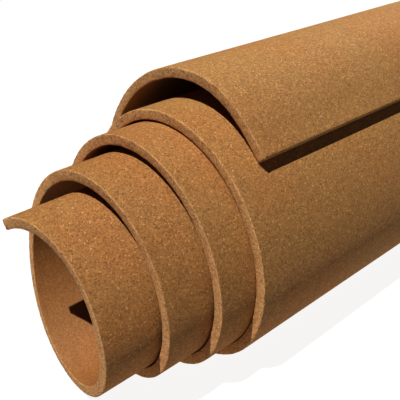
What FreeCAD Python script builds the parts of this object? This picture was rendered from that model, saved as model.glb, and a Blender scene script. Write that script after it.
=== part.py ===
import FreeCAD, Part
import math
import os

# A sheet of agglomerated cork wound into a loose roll that lies on its side. The sheet is one
# continuous spiral: theta is the angle along it in degrees, 0 at the crown of the first turn,
# 90 at the front, 180 at the bottom. The roll's axis is X and its open end faces -X.

# name, value, what it sets (lengths in mm, angles in degrees)
DIMENSIONS = [
    ("sheet_width", 1219, "width of the sheet, which is the length of the roll"),
    ("thickness", 12, "thickness of the cork"),
    ("seat_radius", 107.5, "mean radius of the first turn's outer face at the bottom"),
    ("seat_gap", 0.5, "air left where one turn lies on the next"),
    ("seat_angle", 175.7, "where the turns lie on one another, low at the front"),
    ("start_angle", -25, "inner end of the sheet"),
    ("end_angle", 1491, "outer end of the sheet"),
    ("tail_drop", 24.1, "how far the crown of the inner tail sags below a plain spiral"),
    ("gap_1", 14.5, "air over the crown of the first turn"),
    ("gap_2", 8.3, "air over the crown of the second turn"),
    ("gap_3", 1.9, "air over the crown of the third turn"),
    ("gap_4", 23.8, "air over the crown of the fourth turn, under the outer one"),
    ("outer_span", 240.2, "angle over which the outer turn stands off"),
    ("outer_skew", 90, "how steeply the outer turn lifts off and comes back"),
    ("oval", 8.9, "how far the roll is out of round"),
    ("oval_angle", -28.7, "direction of the long axis of the section"),
    ("first_pitch", 66.5, "how far the first turn steps along the axis"),
    ("pitch_drop", 3.95, "how the step falls from turn to turn"),
    ("lean", 20.9, "how far the rings lean along the axis"),
    ("lean_angle", 31.9, "side to which the rings lean"),
    ("step_angle", 12, "spacing of the points that the spiral is drawn through"),
]

document = FreeCAD.newDocument("cork_roll")
sheet = document.addObject("Spreadsheet::Sheet", "dimensions")
for row, (name, value, note) in enumerate(DIMENSIONS, start=1):
    sheet.set("A%d" % row, name)
    sheet.set("B%d" % row, str(value))
    sheet.set("C%d" % row, note)
    sheet.setAlias("B%d" % row, name)
document.recompute()
value_of = {name: float(sheet.get(name)) for name, _, _ in DIMENSIONS}

THICKNESS = value_of["thickness"]
SEAT = value_of["seat_angle"]
LAST_SEAT = SEAT + 3 * 360


def crown_lift(theta):
    """Height of a turn's crown over a plain spiral, easing to none where the turns touch."""
    gaps = [value_of["gap_%d" % number] for number in (1, 2, 3, 4)]
    turn = math.floor((theta - SEAT) / 360.0) + 1
    turn = min(max(turn, 0), 4)
    height = sum(gaps[:turn]) - value_of["tail_drop"]
    phase = theta - SEAT
    if turn == 4:
        phase = (theta - LAST_SEAT) * 360.0 / value_of["outer_span"]
        phase += value_of["outer_skew"] * math.sin(math.radians(phase))
    return height * (1 - math.cos(math.radians(phase))) / 2


def outer_radius(theta):
    """Distance of the sheet's outer face from the roll's axis."""
    growth = (THICKNESS + value_of["seat_gap"]) * (theta - 180) / 360.0
    out_of_round = value_of["oval"] * math.cos(math.radians(2 * (theta - value_of["oval_angle"])))
    return value_of["seat_radius"] + growth + crown_lift(theta) + out_of_round


def axial_position(theta):
    """Distance along the axis of the sheet's near edge: the turns stand in steps."""
    turns = theta / 360.0
    stepped = value_of["first_pitch"] * turns - value_of["pitch_drop"] * turns * turns
    return stepped + value_of["lean"] * math.cos(math.radians(theta - value_of["lean_angle"]))


def section_point(theta, depth):
    """Point of the near edge, depth below the outer face along the section's normal."""
    span = 0.01
    before = outer_radius(theta - span)
    after = outer_radius(theta + span)
    radius = outer_radius(theta)
    slope = (after - before) / math.radians(2 * span)
    sine = math.sin(math.radians(theta))
    cosine = math.cos(math.radians(theta))
    along_y = -slope * sine - radius * cosine
    along_z = slope * cosine - radius * sine
    length = math.hypot(along_y, along_z)
    y = -radius * sine - depth * along_z / length
    z = radius * cosine + depth * along_y / length
    return FreeCAD.Vector(axial_position(theta), y, z)


def edge_points(depth, offset):
    """Points along one long edge of the sheet, on the face depth below the outer one."""
    start = value_of["start_angle"]
    end = value_of["end_angle"]
    steps = max(8, int(math.ceil((end - start) / value_of["step_angle"])))
    shift = FreeCAD.Vector(offset, 0, 0)
    return [section_point(start + (end - start) * i / steps, depth) + shift for i in range(steps + 1)]


def path_lengths(points):
    """Running length of the section through the points, so that all four edges match."""
    lengths = [0.0]
    for before, after in zip(points, points[1:]):
        lengths.append(lengths[-1] + math.hypot(after.y - before.y, after.z - before.z))
    return lengths


def wound_sheet():
    """Solid between the sheet's two faces, its near and far edges and its two cut ends."""
    width = value_of["sheet_width"]
    corners = [
        edge_points(0, 0),
        edge_points(THICKNESS, 0),
        edge_points(THICKNESS, width),
        edge_points(0, width),
    ]
    parameters = path_lengths(corners[0])
    curves = []
    for points in corners:
        curve = Part.BSplineCurve()
        curve.interpolate(Points=points, Parameters=parameters)
        curves.append(curve)
    faces = []
    for curve, neighbour in zip(curves, curves[1:] + curves[:1]):
        faces.append(curve.makeRuledSurface(neighbour).toShape())
    for end in (0, -1):
        outline = [points[end] for points in corners]
        faces.append(Part.Face(Part.makePolygon(outline + outline[:1])))
    shell = Part.Shell(faces)
    shell.sewShape()
    return Part.Solid(Part.Shell(shell.Faces))


cork = document.addObject("Part::Feature", "cork_sheet")
cork.Label = "Cork sheet"
cork.Shape = wound_sheet()

# The roll lies on the floor with its middle over the origin.
extent = cork.Shape.optimalBoundingBox(False)
centre_x = (extent.XMin + extent.XMax) / 2
centre_y = (extent.YMin + extent.YMax) / 2
cork.Placement = FreeCAD.Placement(
    FreeCAD.Vector(-centre_x, -centre_y, -extent.ZMin), FreeCAD.Rotation()
)
document.recompute()

for item in document.Objects:
    if "Invalid" in item.State or "Error" in item.State:
        raise RuntimeError("%s does not compute" % item.Name)
if cork.Shape.isNull() or not cork.Shape.isValid() or cork.Shape.Volume <= 0:
    raise RuntimeError("the cork sheet is not one valid solid")

os.makedirs("parts", exist_ok=True)
cork.Shape.exportStep("parts/cork_sheet.step")
extent = cork.Shape.optimalBoundingBox(False)
print("size %.1f x %.1f x %.1f mm" % (extent.XLength, extent.YLength, extent.ZLength))
print("volume %.2f litres" % (cork.Shape.Volume / 1e6))
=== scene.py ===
"""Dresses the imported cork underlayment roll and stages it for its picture.

The roll is one sheet of agglomerated cork, wound a little more than four turns and slipped along
its axis so that the rings stand in steps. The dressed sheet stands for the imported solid: the same
spiral, with softened and slightly crumbled cut edges, and a granular cork finish on its two faces
and its cuts.
"""

import logging
import math
from dataclasses import dataclass, field
from enum import Enum

import bmesh
import bpy
import numpy as np
from mathutils import Matrix, Vector


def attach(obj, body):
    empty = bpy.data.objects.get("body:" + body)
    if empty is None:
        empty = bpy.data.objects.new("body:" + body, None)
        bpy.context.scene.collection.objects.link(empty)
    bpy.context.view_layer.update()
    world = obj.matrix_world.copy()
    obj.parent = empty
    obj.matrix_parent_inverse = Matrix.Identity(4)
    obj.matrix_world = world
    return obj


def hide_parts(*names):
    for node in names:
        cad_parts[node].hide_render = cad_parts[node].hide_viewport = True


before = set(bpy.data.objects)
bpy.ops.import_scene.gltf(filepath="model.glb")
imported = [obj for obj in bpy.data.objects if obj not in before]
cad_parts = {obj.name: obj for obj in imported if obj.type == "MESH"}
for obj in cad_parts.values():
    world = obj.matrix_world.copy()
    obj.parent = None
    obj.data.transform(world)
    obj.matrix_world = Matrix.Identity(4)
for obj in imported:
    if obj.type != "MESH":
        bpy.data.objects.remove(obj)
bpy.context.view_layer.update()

LOG = logging.getLogger("cork_roll")
MM = 0.001
FULL_TURN = 360.0
WHITE = (1.0, 1.0, 1.0, 1.0)

Tone = tuple[float, float, float]


class SheetFace(Enum):
    """Material slots of the wound sheet: its outer face, its cuts and its inner face."""

    ROLLED = 0
    CUT = 1
    INNER = 2


@dataclass(frozen=True)
class Winding:
    """How the sheet is wound: theta runs along it in degrees, 0 at the crown of the first turn.

    Lengths are in millimetres and angles in degrees, as in the part's own source.
    """

    sheet_width: float = 1219.0
    thickness: float = 12.0
    seat_radius: float = 107.5
    seat_gap: float = 0.5
    seat_angle: float = 175.7
    start_angle: float = -25.0
    end_angle: float = 1491.0
    tail_drop: float = 24.1
    crown_gaps: tuple[float, ...] = (14.5, 8.3, 1.9, 23.8)
    outer_span: float = 240.2
    outer_skew: float = 90.0
    oval: float = 8.9
    oval_angle: float = -28.7
    first_pitch: float = 66.5
    pitch_drop: float = 3.95
    lean: float = 20.9
    lean_angle: float = 31.9

    def crown_lift(self, theta: np.ndarray) -> np.ndarray:
        """Height of the crowns over a plain spiral.

        Args:
            theta: angles along the sheet.

        Returns:
            The lift at each angle, none where the turns lie on one another.
        """
        last = len(self.crown_gaps)
        turn = np.clip(np.floor((theta - self.seat_angle) / FULL_TURN) + 1, 0, last).astype(int)
        heights = np.concatenate([[0.0], np.cumsum(self.crown_gaps)]) - self.tail_drop
        seat = self.seat_angle + (last - 1) * FULL_TURN
        outer = (theta - seat) * FULL_TURN / self.outer_span
        outer = outer + self.outer_skew * np.sin(np.radians(outer))
        phase = np.where(turn == last, outer, theta - self.seat_angle)
        return heights[turn] * (1 - np.cos(np.radians(phase))) / 2

    def radius(self, theta: np.ndarray) -> np.ndarray:
        """Distance of the outer face from the roll's axis.

        Args:
            theta: angles along the sheet.

        Returns:
            One radius for each angle.
        """
        growth = (self.thickness + self.seat_gap) * (theta - 180.0) / FULL_TURN
        out_of_round = self.oval * np.cos(np.radians(2 * (theta - self.oval_angle)))
        return self.seat_radius + growth + self.crown_lift(theta) + out_of_round

    def axial(self, theta: np.ndarray) -> np.ndarray:
        """Place of the near edge along the axis.

        Args:
            theta: angles along the sheet.

        Returns:
            One distance for each angle, which steps out from turn to turn.
        """
        turns = theta / FULL_TURN
        stepped = self.first_pitch * turns - self.pitch_drop * turns**2
        return stepped + self.lean * np.cos(np.radians(theta - self.lean_angle))

    def near_edge(self, theta: np.ndarray) -> tuple[np.ndarray, np.ndarray]:
        """Outer-face points of the near edge, and the way into the cork there.

        Args:
            theta: angles along the sheet.

        Returns:
            Points and unit inward directions, each one row an angle.
        """
        span = 0.01
        radius = self.radius(theta)
        rise = self.radius(theta + span) - self.radius(theta - span)
        slope = rise / math.radians(2 * span)
        sine, cosine = np.sin(np.radians(theta)), np.cos(np.radians(theta))
        level = np.zeros_like(sine)
        along_y = -slope * sine - radius * cosine
        along_z = slope * cosine - radius * sine
        along = np.stack([level, along_y, along_z], 1)
        along /= np.linalg.norm(along, axis=1)[:, None]
        inward = np.stack([level, -along[:, 2], along[:, 1]], 1)
        points = np.stack([self.axial(theta), -radius * sine, radius * cosine], 1)
        return points, inward


def shader_socket(
    tree: bpy.types.NodeTree, name: str, kind: str, way: str, value: object = None
) -> None:
    """Adds a named socket to a shader group.

    Args:
        tree: the group's node tree.
        name: the socket's name.
        kind: Float, Color or Vector.
        way: INPUT or OUTPUT.
        value: default of an input.
    """
    socket = tree.interface.new_socket(name=name, in_out=way, socket_type="NodeSocket" + kind)
    if value is not None:
        socket.default_value = value


class Graph:
    """Places and joins shader nodes in one tree."""

    def __init__(self, tree: bpy.types.NodeTree) -> None:
        """Keeps the tree that the nodes go in."""
        self.tree = tree

    def node(self, kind: str, label: str = "", **settings: object) -> bpy.types.Node:
        """Adds a node.

        Args:
            kind: the node's type without its ShaderNode prefix.
            label: what the node is for.
            settings: properties of the node.

        Returns:
            The node.
        """
        made = self.tree.nodes.new(kind if kind.startswith("Node") else "ShaderNode" + kind)
        made.label = label
        for name, value in settings.items():
            setattr(made, name, value)
        return made

    def link(self, source: bpy.types.NodeSocket, target: bpy.types.NodeSocket) -> None:
        """Joins an output to an input."""
        self.tree.links.new(source, target)

    def math(self, operation: str, first: object, second: object) -> bpy.types.NodeSocket:
        """Adds a Math node.

        Args:
            operation: Blender's name of the operation.
            first: a socket or a number.
            second: a socket or a number.

        Returns:
            The node's output.
        """
        made = self.node("Math", operation=operation)
        self.feed(made.inputs[0], first)
        self.feed(made.inputs[1], second)
        return made.outputs[0]

    def mix(
        self, factor: object, first: object, second: object, blend: str = "MIX"
    ) -> bpy.types.NodeSocket:
        """Adds a colour Mix node.

        Args:
            factor: a socket or a number.
            first: a colour or a colour socket.
            second: a colour or a colour socket.
            blend: Blender's name of the blend.

        Returns:
            The mixed colour.
        """
        made = self.node("Mix", data_type="RGBA", blend_type=blend)
        factor_socket, first_colour, second_colour = made.inputs[0], made.inputs[6], made.inputs[7]
        self.feed(factor_socket, factor)
        self.feed(first_colour, first)
        self.feed(second_colour, second)
        return made.outputs[2]

    def feed(self, socket: bpy.types.NodeSocket, value: object) -> None:
        """Joins a socket to an input, or sets the input to a plain value."""
        if isinstance(value, bpy.types.NodeSocket):
            self.link(value, socket)
        else:
            socket.default_value = value

    def remap(
        self,
        value: bpy.types.NodeSocket,
        low: float,
        high: float,
        to: tuple[float, float] = (0.0, 1.0),
    ) -> bpy.types.NodeSocket:
        """Adds a clamped Map Range node.

        Args:
            value: the number to map.
            low: the value that becomes the first of to.
            high: the value that becomes the second of to.
            to: the range that comes out.

        Returns:
            The mapped number.
        """
        made = self.node("MapRange", interpolation_type="SMOOTHSTEP")
        self.link(value, made.inputs[0])
        for socket, number in zip(made.inputs[1:5], (low, high, to[0], to[1])):
            socket.default_value = number
        return made.outputs[0]


def granule_group() -> bpy.types.ShaderNodeTree:
    """Shader group for pressed cork: granules of three tones, pale and dark flecks, binder seams.

    Returns:
        The group, with colour, relief and bark outputs.
    """
    grit_ratio = 2.3
    bark_brown = (0.10, 0.034, 0.009, 1)
    fresh_cork = (0.88, 0.54, 0.24, 1)
    binder_brown = (0.10, 0.045, 0.018, 1)
    granule_share, grit_share = 0.7, 0.3
    bark_pit = 0.4

    tree = bpy.data.node_groups.new("PressedGranules", "ShaderNodeTree")
    for name, kind, value in (
        ("Position", "Vector", None),
        ("Granules per metre", "Float", 420.0),
        ("Pale", "Color", WHITE),
        ("Middle", "Color", WHITE),
        ("Dark", "Color", WHITE),
        ("Fleck amount", "Float", 0.5),
        ("Seam depth", "Float", 0.5),
    ):
        shader_socket(tree, name, kind, "INPUT", value)
    shader_socket(tree, "Colour", "Color", "OUTPUT")
    shader_socket(tree, "Relief", "Float", "OUTPUT")
    shader_socket(tree, "Bark", "Float", "OUTPUT")
    graph = Graph(tree)
    given = graph.node("NodeGroupInput").outputs
    result = graph.node("NodeGroupOutput").inputs

    cells = graph.node("TexVoronoi", "granules", voronoi_dimensions="3D", feature="F1")
    seams = graph.node(
        "TexVoronoi", "binder seams", voronoi_dimensions="3D", feature="DISTANCE_TO_EDGE"
    )
    grit = graph.node("TexVoronoi", "grit", voronoi_dimensions="3D", feature="F1")
    for texture in (cells, seams, grit):
        graph.link(given["Position"], texture.inputs["Vector"])
        texture.inputs["Randomness"].default_value = 1.0
    density = given["Granules per metre"]
    graph.link(density, cells.inputs["Scale"])
    graph.link(density, seams.inputs["Scale"])
    graph.link(graph.math("MULTIPLY", density, grit_ratio), grit.inputs["Scale"])

    tone = graph.node("SeparateColor", "random tones, one set a granule")
    graph.link(cells.outputs["Color"], tone.inputs[0])
    fine = graph.node("SeparateColor", "random tones, one set a grain of grit")
    graph.link(grit.outputs["Color"], fine.inputs[0])

    blended = graph.math(
        "ADD",
        graph.math("MULTIPLY", tone.outputs[0], granule_share),
        graph.math("MULTIPLY", fine.outputs[0], grit_share),
    )
    low = graph.mix(graph.remap(blended, 0.12, 0.5), given["Dark"], given["Middle"])
    body = graph.mix(graph.remap(blended, 0.5, 0.88), low, given["Pale"])
    amount = given["Fleck amount"]
    bark = graph.math("MULTIPLY", graph.remap(tone.outputs[1], 0.925, 0.975), amount)
    barked = graph.mix(bark, body, bark_brown)
    glint = graph.math("MULTIPLY", graph.remap(tone.outputs[2], 0.935, 0.985), amount)
    flecked = graph.mix(glint, barked, fresh_cork)
    to_seam = seams.outputs["Distance"]
    seam = graph.math(
        "MULTIPLY", graph.remap(to_seam, 0.0, 0.09, (1.0, 0.0)), given["Seam depth"]
    )
    graph.link(graph.mix(seam, flecked, binder_brown), result["Colour"])

    domed = graph.math(
        "ADD",
        graph.math("MULTIPLY", graph.remap(to_seam, 0.0, 0.28), granule_share),
        graph.math("MULTIPLY", fine.outputs[1], grit_share),
    )
    pit = graph.math("MULTIPLY", bark, bark_pit)
    graph.link(graph.math("SUBTRACT", domed, pit), result["Relief"])
    graph.link(bark, result["Bark"])
    return tree


def drift_group() -> bpy.types.ShaderNodeTree:
    """Shader group for the slow change of tone across a sheet: mottling, painted sheen, and rims
    rubbed paler with a painted highlight.

    Returns:
        The group, with a colour output.
    """
    ruddy_tint = (1.04, 0.83, 0.70, 1)
    # Tint of the painted sheen, which pales and greys the outer faces as if lit from above.
    painted_sheen_tint = (1.12, 1.25, 1.36, 1)
    # Pale tone for the rims: rubbed wear with a painted highlight along the cut edges.
    rubbed_and_highlit_cork = (0.62, 0.36, 0.16, 1)

    tree = bpy.data.node_groups.new("SheetDrift", "ShaderNodeTree")
    for name, kind, value in (
        ("Colour", "Color", WHITE),
        ("Position", "Vector", None),
        ("Drift", "Float", 0.1),
        ("Ruddy", "Float", 0.5),
        ("Painted sheen", "Float", 0.0),
        ("Rim", "Float", 0.0),
    ):
        shader_socket(tree, name, kind, "INPUT", value)
    shader_socket(tree, "Colour", "Color", "OUTPUT")
    graph = Graph(tree)
    given = graph.node("NodeGroupInput").outputs
    result = graph.node("NodeGroupOutput").inputs

    noises = []
    for label, scale, detail in (
        ("batches of granules", 5.0, 3.0),
        ("finger-wide mottling", 60.0, 3.0),
        ("ruddier granules, a hand or two across", 9.0, 2.0),
    ):
        noise = graph.node("TexNoise", label, noise_dimensions="3D")
        graph.link(given["Position"], noise.inputs["Vector"])
        noise.inputs["Scale"].default_value = scale
        noise.inputs["Detail"].default_value = detail
        noises.append(noise.outputs[0])
    broad, close, patches = noises

    swing = graph.remap(graph.math("ADD", broad, close), 0.7, 1.3, (-1.0, 1.0))
    shade = graph.math("MULTIPLY", swing, given["Drift"])
    lit = graph.node("HueSaturation", "tone drift")
    graph.link(given["Colour"], lit.inputs["Color"])
    graph.link(graph.math("ADD", shade, 1.0), lit.inputs["Value"])
    ruddy = graph.math("MULTIPLY", graph.remap(patches, 0.42, 0.66), given["Ruddy"])
    reddened = graph.mix(ruddy, lit.outputs[0], ruddy_tint, "MULTIPLY")
    # Painted sheen: the outer faces, most of all on the outer turns, are made paler and greyer.
    sheen_paled = graph.mix(given["Painted sheen"], reddened, painted_sheen_tint, "MULTIPLY")
    # Rims are lightened towards this tone: partly rubbed wear, partly a painted highlight.
    graph.link(graph.mix(given["Rim"], sheen_paled, rubbed_and_highlit_cork), result["Colour"])
    return tree


@dataclass(frozen=True)
class CorkFinish:
    """One cork finish: the tones of its granules and how rough it is.

    Granules are counted along a metre and relief is in millimetres.
    """

    name: str
    pale: Tone
    middle: Tone
    dark: Tone
    granules: float
    flecks: float
    seams: float
    drift: float
    ruddy: float
    rim: float
    relief: float
    roughness: float
    bark_polish: float = 0.12
    relief_strength: float = 0.8
    specular: float = 0.9
    sheen: float = 0.03
    sheen_roughness: float = 0.5

    def build(
        self, granules: bpy.types.ShaderNodeTree, drift: bpy.types.ShaderNodeTree
    ) -> bpy.types.Material:
        """Makes the material.

        Args:
            granules: the pressed granule group.
            drift: the tone drift group.

        Returns:
            The finished material.
        """
        material = bpy.data.materials.new(self.name)
        material.use_nodes = True
        graph = Graph(material.node_tree)
        shader = material.node_tree.nodes["Principled BSDF"]
        place = graph.node("TexCoord").outputs["Object"]

        grain = graph.node("Group", "granules", node_tree=granules)
        graph.link(place, grain.inputs["Position"])
        grain.inputs["Granules per metre"].default_value = self.granules
        grain.inputs["Pale"].default_value = (*self.pale, 1)
        grain.inputs["Middle"].default_value = (*self.middle, 1)
        grain.inputs["Dark"].default_value = (*self.dark, 1)
        grain.inputs["Fleck amount"].default_value = self.flecks
        grain.inputs["Seam depth"].default_value = self.seams

        tone = graph.node("Group", "tone drift", node_tree=drift)
        graph.link(place, tone.inputs["Position"])
        graph.link(grain.outputs["Colour"], tone.inputs["Colour"])
        tone.inputs["Drift"].default_value = self.drift
        tone.inputs["Ruddy"].default_value = self.ruddy
        # Painted sheen: a share stored on the mesh pales and greys the outer faces.
        painted_sheen = graph.node("Attribute", "painted sheen on the outer faces", attribute_name="painted_sheen")
        graph.link(painted_sheen.outputs["Fac"], tone.inputs["Painted sheen"])
        # Rim share: corners rubbed paler and painted with a highlight.
        rim = graph.node("Attribute", "corners rubbed and painted with a highlight", attribute_name="rim")
        graph.link(graph.math("MULTIPLY", rim.outputs["Fac"], self.rim), tone.inputs["Rim"])
        graph.link(tone.outputs["Colour"], shader.inputs["Base Color"])

        polished = self.roughness - self.bark_polish
        rough = graph.remap(grain.outputs["Bark"], 0.0, 1.0, (self.roughness, polished))
        graph.link(rough, shader.inputs["Roughness"])
        bump = graph.node("Bump", "granule relief")
        bump.inputs["Strength"].default_value = self.relief_strength
        bump.inputs["Distance"].default_value = self.relief * MM
        graph.link(grain.outputs["Relief"], bump.inputs["Height"])
        graph.link(bump.outputs["Normal"], shader.inputs["Normal"])
        shader.inputs["Specular IOR Level"].default_value = self.specular
        shader.inputs["Sheen Weight"].default_value = self.sheen
        shader.inputs["Sheen Roughness"].default_value = self.sheen_roughness
        return material


@dataclass
class WoundSheet:
    """The cork sheet, with softened corners and crumbled cuts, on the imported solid's own spiral.

    Columns of points stand along the winding, and each column goes once round the sheet's
    section: across its outer face, through the far cut, back across its inner face and through
    the near cut. Lengths are in millimetres.
    """

    winding: Winding = field(default_factory=Winding)
    columns: int = 1480
    corner: float = 0.7
    bevel: float = 0.3
    half_stations: tuple[float, ...] = (2.2, 5.0, 12.0, 34.0, 95.0, 230.0, 430.0)
    depth_stations: tuple[float, ...] = (3.2, 6.0, 8.8)
    crumble: float = 0.28
    crumble_reach: float = 1.6
    chip_depth: float = 1.6
    end_reach: float = 0.8
    face_band: float = 1.0
    ripple: float = 0.25
    painted_sheen_from: float = 500.0
    painted_sheen_span: float = 600.0
    seed: int = 11

    @property
    def face_points(self) -> int:
        """Points of a column across one face."""
        return 2 * (len(self.half_stations) + 1) + 1

    @property
    def cut_points(self) -> int:
        """Points of a column through one cut."""
        return len(self.depth_stations) + 4

    @property
    def inner_end(self) -> int:
        """Place in a column of the inner face's last point, by the near cut."""
        return 2 * self.face_points + self.cut_points - 1

    def ring(self) -> np.ndarray:
        """Points of one column round the sheet's section.

        Returns:
            Rows of (distance from the near edge, depth below the outer face).
        """
        width, thick = self.winding.sheet_width, self.winding.thickness
        corner, inset = self.corner, self.bevel * self.corner
        half = np.array([corner, *self.half_stations])
        across = np.concatenate([half, [width / 2], width - half[::-1]])
        through = np.array([inset, corner, *self.depth_stations, thick - corner, thick - inset])
        drawn_in = np.zeros_like(through)
        drawn_in[[0, -1]] = inset
        outer = np.stack([across, np.zeros_like(across)], 1)
        far = np.stack([width - drawn_in, through], 1)
        inner = np.stack([across[::-1], np.full_like(across, thick)], 1)
        near = np.stack([drawn_in, through[::-1]], 1)
        return np.concatenate([outer, far, inner, near])

    def build(self, finishes: dict[SheetFace, bpy.types.Material]) -> bpy.types.Object:
        """Builds the sheet's mesh and dresses it.

        Args:
            finishes: the material of the outer face, the cuts and the inner face.

        Returns:
            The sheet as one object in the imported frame.
        """
        wind = self.winding
        theta = np.linspace(wind.start_angle, wind.end_angle, self.columns)
        ring = self.ring()
        across, depth, rim = self.worn(ring)
        points, inward = wind.near_edge(theta)
        sunk = depth + self.rippled(theta, across)
        grid = points[:, None, :] + inward[:, None, :] * sunk[:, :, None]
        grid[:, :, 0] += across
        vertices = self.to_part(grid.reshape(-1, 3)) * MM

        polygons, slots = self.skin(len(ring))
        mesh = bpy.data.meshes.new("dressed_cork_sheet")
        mesh.from_pydata(vertices.tolist(), [], polygons)
        mesh.polygons.foreach_set("material_index", slots.astype(np.int32))
        mesh.polygons.foreach_set("use_smooth", np.ones(len(polygons), bool))
        self.store(mesh, "rim", rim)
        self.store(mesh, "painted_sheen", self.painted_sheen_share(theta, depth))
        self.lay_out(mesh, theta, ring)
        for face in SheetFace:
            mesh.materials.append(finishes[face])
        mesh.validate()
        mesh.update()
        piece = bpy.data.objects.new("dressed_cork_sheet", mesh)
        bpy.context.scene.collection.objects.link(piece)
        self.face_outward(piece)
        return piece

    def worn(self, ring: np.ndarray) -> tuple[np.ndarray, np.ndarray, np.ndarray]:
        """Repeats the section along the sheet and crumbles its cut edges.

        Args:
            ring: the section's points.

        Returns:
            Distance from the near edge, depth below the outer face and closeness to a corner,
            which is rubbed paler and has a painted highlight, each with one row a column of
            points.
        """
        wind = self.winding
        shape = (self.columns, len(ring))
        random = np.random.default_rng(self.seed)
        across = np.broadcast_to(ring[:, 0], shape).copy()
        depth = np.broadcast_to(ring[:, 1], shape).copy()
        to_edge = np.minimum(across, wind.sheet_width - across)
        by_edge = np.exp(-((to_edge / self.crumble_reach) ** 2))
        order = np.arange(self.columns)
        to_end = np.minimum(order, order[::-1])[:, None]
        by_end = np.exp(-((to_end / self.end_reach) ** 2))

        fine, coarse = 0.7, 0.5
        ragged = random.normal(0, 1, shape) * fine
        pairs = random.normal(0, 1, (self.columns // 2 + 1, len(ring)))
        ragged += np.repeat(pairs, 2, axis=0)[: self.columns] * coarse
        inside = np.where(across < wind.sheet_width / 2, 1.0, -1.0)
        across += inside * by_edge * self.crumble * np.abs(ragged)

        middle = np.where(depth < wind.thickness / 2, 1.0, -1.0)
        by_face = np.abs(depth - wind.thickness / 2) > wind.thickness / 2 - self.face_band
        chipped = random.random(shape) ** 3
        closeness = np.maximum(by_edge, by_end)
        depth += middle * by_face * closeness * self.crumble * self.chip_depth * chipped
        # The two ends draw in a little at their corners, as a knife leaves them.
        ends = np.array([0, self.columns - 1])
        depth[ends] += middle[ends] * by_face[ends] * 0.5 * self.corner
        # The rim share is rubbed wear and a painted highlight, strongest at the cut edges.
        return across, depth, closeness * np.where(by_face, 1.0, 0.25)

    def rippled(self, theta: np.ndarray, across: np.ndarray) -> np.ndarray:
        """Slow unevenness of the sheet, the same on both faces.

        Args:
            theta: angle of each column.
            across: each point's distance from the near edge.

        Returns:
            How far each point sinks.
        """
        angle = np.radians(theta)
        slow = np.sin(angle * 5.0)[:, None] * np.sin(across / 61.0 + 1.3)
        slow = slow + np.sin(angle * 8.0 + 2.0)[:, None] * np.sin(across / 43.0)
        return self.ripple * slow * 0.5

    def painted_sheen_share(self, theta: np.ndarray, depth: np.ndarray) -> np.ndarray:
        """How much painted sheen each point takes: outer faces, most of all on the outer turns.

        Args:
            theta: angle of each column.
            depth: each point's depth below the outer face.

        Returns:
            A share for each point.
        """
        # Painted sheen: outer faces are paled to stand for the sheen on their lit tops, most on the
        # outer turns.
        outward = np.clip((theta - self.painted_sheen_from) / self.painted_sheen_span, 0.0, 1.0)[:, None]
        open_side = np.clip(1.0 - depth / self.winding.thickness, 0.0, 1.0)
        return open_side * (0.5 + 0.5 * outward)

    def skin(self, count: int) -> tuple[list[tuple[int, ...]], np.ndarray]:
        """Faces of the closed mesh.

        Args:
            count: points in a column.

        Returns:
            The polygons, and the material slot of each.
        """
        column = np.arange(self.columns - 1)[:, None] * count
        ahead = column + count
        row = np.arange(count)[None, :]
        beside = (row + 1) % count
        corners = [column + row, column + beside, ahead + beside, ahead + row]
        quads = np.stack(corners, 2).reshape(-1, 4)
        by_row = np.full(count, SheetFace.CUT.value)
        by_row[: self.face_points - 1] = SheetFace.ROLLED.value
        by_row[self.face_points + self.cut_points : self.inner_end] = SheetFace.INNER.value

        end_faces = []
        last = (self.columns - 1) * count
        for base, flipped in ((0, False), (last, True)):
            outer = base + np.arange(self.face_points)
            inner = base + self.inner_end - np.arange(self.face_points)
            ladder = np.stack([outer[:-1], outer[1:], inner[1:], inner[:-1]], 1)
            end_faces += (ladder[:, ::-1] if flipped else ladder).tolist()
        for base in (0, last):
            end_faces += self.end_strips(base, count)
        polygons = [tuple(corners) for corners in quads.tolist() + end_faces]
        cut = np.full(len(end_faces), SheetFace.CUT.value)
        return polygons, np.concatenate([np.tile(by_row, self.columns - 1), cut])

    def end_strips(self, base: int, count: int) -> list[list[int]]:
        """Closes the two small gaps left where an end's ladder meets the long edges.

        Args:
            base: index of the end column's first point.
            count: points in a column.

        Returns:
            The far and the near polygon.
        """
        far = range(self.face_points - 1, self.face_points + self.cut_points + 1)
        near = range(self.inner_end, count + 1)
        return [[base + i for i in far], [base + i % count for i in near]]

    def to_part(self, vertices: np.ndarray) -> np.ndarray:
        """Moves points from the roll's own axis to the part's frame.

        Args:
            vertices: points about the roll's axis.

        Returns:
            The points over the middle of the box's underside.
        """
        wind = self.winding
        points, _ = wind.near_edge(np.linspace(wind.start_angle, wind.end_angle, 20000))
        low, high = points.min(0), points.max(0)
        middle_x = (low[0] + high[0] + wind.sheet_width) / 2
        return vertices - np.array([middle_x, (low[1] + high[1]) / 2, low[2]])

    def store(self, mesh: bpy.types.Mesh, name: str, shares: np.ndarray) -> None:
        """Stores one share from 0 to 1 for each vertex, which the finishes read by its name."""
        layer = mesh.attributes.new(name, "FLOAT", "POINT")
        layer.data.foreach_set("value", np.clip(shares, 0, 1).astype(np.float32).ravel())

    def lay_out(self, mesh: bpy.types.Mesh, theta: np.ndarray, ring: np.ndarray) -> None:
        """Gives the mesh a map of the unrolled sheet, in metres.

        Args:
            mesh: the sheet's mesh.
            theta: angle of each column.
            ring: the section's points.
        """
        points, _ = self.winding.near_edge(theta)
        steps = np.linalg.norm(np.diff(points[:, 1:], axis=0), axis=1)
        run = np.concatenate([[0.0], np.cumsum(steps)])
        sides = np.linalg.norm(np.diff(ring, axis=0), axis=1)
        around = np.concatenate([[0.0], np.cumsum(sides)])
        corners = np.zeros(len(mesh.loops), np.int32)
        mesh.loops.foreach_get("vertex_index", corners)
        flat = np.stack([run[corners // len(ring)], around[corners % len(ring)]], 1) * MM
        layer = mesh.uv_layers.new(name="unrolled")
        layer.data.foreach_set("uv", flat.astype(np.float32).ravel())

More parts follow.
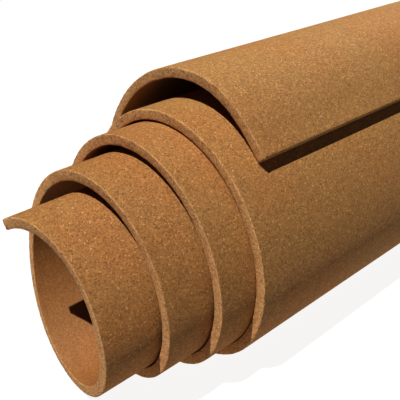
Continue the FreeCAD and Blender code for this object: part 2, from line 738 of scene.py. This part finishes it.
    def face_outward(self, piece: bpy.types.Object) -> None:
        """Turns all faces of the closed mesh outward."""
        shell = bmesh.new()
        shell.from_mesh(piece.data)
        bmesh.ops.recalc_face_normals(shell, faces=shell.faces)
        shell.to_mesh(piece.data)
        shell.free()


@dataclass(frozen=True)
class Viewpoint:
    """Where the picture is taken from, in the part's frame.

    The place is in metres, the angles in degrees and the focal length in pixels of the picture.
    """

    place: tuple[float, float, float] = (-0.8325, -0.4991, 0.4156)
    pitch: float = 22.429
    yaw: float = 56.091
    roll: float = -10.164
    focal: float = 533.17
    frame_width: float = 400.0
    sensor: float = 36.0

    def build(self) -> bpy.types.Object:
        """Makes the camera.

        Returns:
            The camera, set as the scene's own.
        """
        pitch, yaw, roll = (math.radians(angle) for angle in (self.pitch, self.yaw, self.roll))
        forward = math.cos(pitch)
        ahead = Vector((forward * math.cos(yaw), forward * math.sin(yaw), -math.sin(pitch)))
        level = Vector((math.sin(yaw), -math.cos(yaw), 0.0))
        upright = level.cross(ahead)
        right = math.cos(roll) * level + math.sin(roll) * upright
        up = -math.sin(roll) * level + math.cos(roll) * upright
        lens = bpy.data.cameras.new("camera")
        lens.sensor_width = self.sensor
        lens.lens = self.focal / self.frame_width * self.sensor
        lens.clip_start = 0.01
        lens.clip_end = 200.0
        camera = bpy.data.objects.new("camera", lens)
        turn = Matrix((right, up, -ahead)).transposed().to_4x4()
        camera.matrix_world = Matrix.Translation(self.place) @ turn
        bpy.context.scene.collection.objects.link(camera)
        bpy.context.scene.camera = camera
        return camera


@dataclass(frozen=True)
class Studio:
    """A plain pale floor, a key light overhead, a soft fill at the far end and a dim surround.

    Directions are the ways that light travels, angles are in degrees and lengths in metres.
    """

    key_direction: tuple[float, float, float] = (0.30, 0.172, -0.937)
    key_strength: float = 4.1
    key_angle: float = 0.7
    fill_direction: tuple[float, float, float] = (-0.92, -0.25, -0.30)
    fill_strength: float = 0.9
    fill_angle: float = 25.0
    lamp_tint: Tone = (1.0, 0.97, 0.92)
    surround: float = 0.015
    backdrop: float = 1.0
    floor_tone: float = 0.10
    floor_glow: float = 0.92
    floor_bounce: float = 0.56
    bounce_tint: Tone = (1.0, 0.85, 0.66)
    pool: tuple[float, float] = (0.45, 0.75)
    pool_squeeze: float = 0.4
    print_gamma: float = 0.75
    floor_half: float = 60.0

    def build(self) -> None:
        """Makes the floor, the two lights and the surround."""
        self.floor()
        self.lamp("key", self.key_direction, self.key_strength, self.key_angle)
        self.lamp("far_end_fill", self.fill_direction, self.fill_strength, self.fill_angle)
        world = bpy.data.worlds.new("surround")
        bpy.context.scene.world = world
        world.use_nodes = True
        sky = world.node_tree.nodes["Background"]
        sky.inputs["Color"].default_value = WHITE
        graph = Graph(world.node_tree)
        seen = graph.node("LightPath", "white backdrop, dim room").outputs["Is Camera Ray"]
        strength = graph.remap(seen, 0.0, 1.0, (self.surround, self.backdrop))
        graph.link(strength, sky.inputs["Strength"])
        bpy.context.scene.view_settings.view_transform = "Standard"
        bpy.context.scene.view_settings.gamma = self.print_gamma

    def floor(self) -> None:
        """Makes the floor that the roll lies on."""
        half = self.floor_half
        corners = [(-half, -half, 0), (half, -half, 0), (half, half, 0), (-half, half, 0)]
        mesh = bpy.data.meshes.new("floor")
        mesh.from_pydata(corners, [], [(0, 1, 2, 3)])
        mesh.materials.append(self.floor_material())
        floor = bpy.data.objects.new("floor", mesh)
        bpy.context.scene.collection.objects.link(floor)

    def floor_material(self) -> bpy.types.Material:
        """Makes the floor's material, brighter in the picture than the light it gives back.

        Returns:
            The material, which sends warm light up in a pool along the roll.
        """
        material = bpy.data.materials.new("pale_floor")
        material.use_nodes = True
        shader = material.node_tree.nodes["Principled BSDF"]
        shader.inputs["Base Color"].default_value = (*[self.floor_tone] * 3, 1)
        shader.inputs["Roughness"].default_value = 1.0
        shader.inputs["Specular IOR Level"].default_value = 0.0
        graph = Graph(material.node_tree)
        seen = graph.node("LightPath", "seen by the camera").outputs["Is Camera Ray"]
        glow_colour = graph.mix(seen, (*self.bounce_tint, 1), WHITE)
        graph.link(glow_colour, shader.inputs["Emission Color"])
        spread = graph.node("VectorMath", "lit pool along the roll", operation="MULTIPLY")
        graph.link(graph.node("TexCoord").outputs["Object"], spread.inputs[0])
        spread.inputs[1].default_value = (self.pool_squeeze, 1.0, 0.0)
        reach = graph.node("VectorMath", "distance from the roll", operation="LENGTH")
        graph.link(spread.outputs[0], reach.inputs[0])
        pool_start, pool_end = self.pool
        fall = (self.floor_bounce, 0.0)
        bounce = graph.remap(reach.outputs["Value"], pool_start, pool_end, fall)
        glow = graph.math("MULTIPLY", seen, self.floor_glow)
        unseen = graph.math("MULTIPLY", graph.math("SUBTRACT", 1.0, seen), bounce)
        graph.link(graph.math("ADD", glow, unseen), shader.inputs["Emission Strength"])
        return material

    def lamp(
        self, name: str, direction: tuple[float, float, float], strength: float, angle: float
    ) -> None:
        """Makes one far light.

        Args:
            name: the light's name.
            direction: the way its light travels.
            strength: its irradiance.
            angle: how wide it looks, in degrees, which softens its shadows.
        """
        sun = bpy.data.lights.new(name, "SUN")
        sun.energy = strength
        sun.angle = math.radians(angle)
        sun.color = self.lamp_tint
        light = bpy.data.objects.new(name, sun)
        light.rotation_mode = "QUATERNION"
        light.rotation_quaternion = Vector(direction).to_track_quat("-Z", "Y")
        bpy.context.scene.collection.objects.link(light)


ROLLED_CORK = CorkFinish(
    name="rolled_cork",
    pale=(0.57, 0.292, 0.098),
    middle=(0.48, 0.236, 0.068),
    dark=(0.36, 0.162, 0.043),
    granules=700.0,
    flecks=0.5,
    seams=0.1,
    drift=0.01,
    ruddy=0.35,
    rim=0.06,
    relief=0.5,
    roughness=0.7,
)

CUT_CORK = CorkFinish(
    name="cut_cork",
    pale=(0.78, 0.47, 0.225),
    middle=(0.68, 0.385, 0.168),
    dark=(0.48, 0.25, 0.097),
    granules=560.0,
    flecks=0.45,
    seams=0.25,
    drift=0.01,
    ruddy=0.2,
    rim=0.05,
    relief=0.5,
    roughness=0.9,
)

# Darker, flatter copy of the cork for the inner face: painted shade, as this face lines the bore
# and the gaps between turns.
INNER_CORK = CorkFinish(
    name="inner_cork",
    pale=(0.44, 0.216, 0.066),
    middle=(0.38, 0.176, 0.049),
    dark=(0.31, 0.136, 0.035),
    granules=700.0,
    flecks=0.18,
    seams=0.05,
    drift=0.02,
    ruddy=0.35,
    rim=0.05,
    relief=0.18,
    roughness=0.7,
)


def main() -> None:
    """Builds the finishes, the sheet, the stage and the camera in order."""
    granules = granule_group()
    drift = drift_group()
    finishes = {
        SheetFace.ROLLED: ROLLED_CORK.build(granules, drift),
        SheetFace.CUT: CUT_CORK.build(granules, drift),
        SheetFace.INNER: INNER_CORK.build(granules, drift),
    }
    sheet = WoundSheet().build(finishes)
    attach(sheet, "root")
    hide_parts("cork_sheet")
    LOG.info("%s: %d faces", sheet.name, len(sheet.data.polygons))
    Studio().build()
    Viewpoint().build()


if __name__ == "__main__":
    logging.basicConfig(level=logging.INFO)
    main()
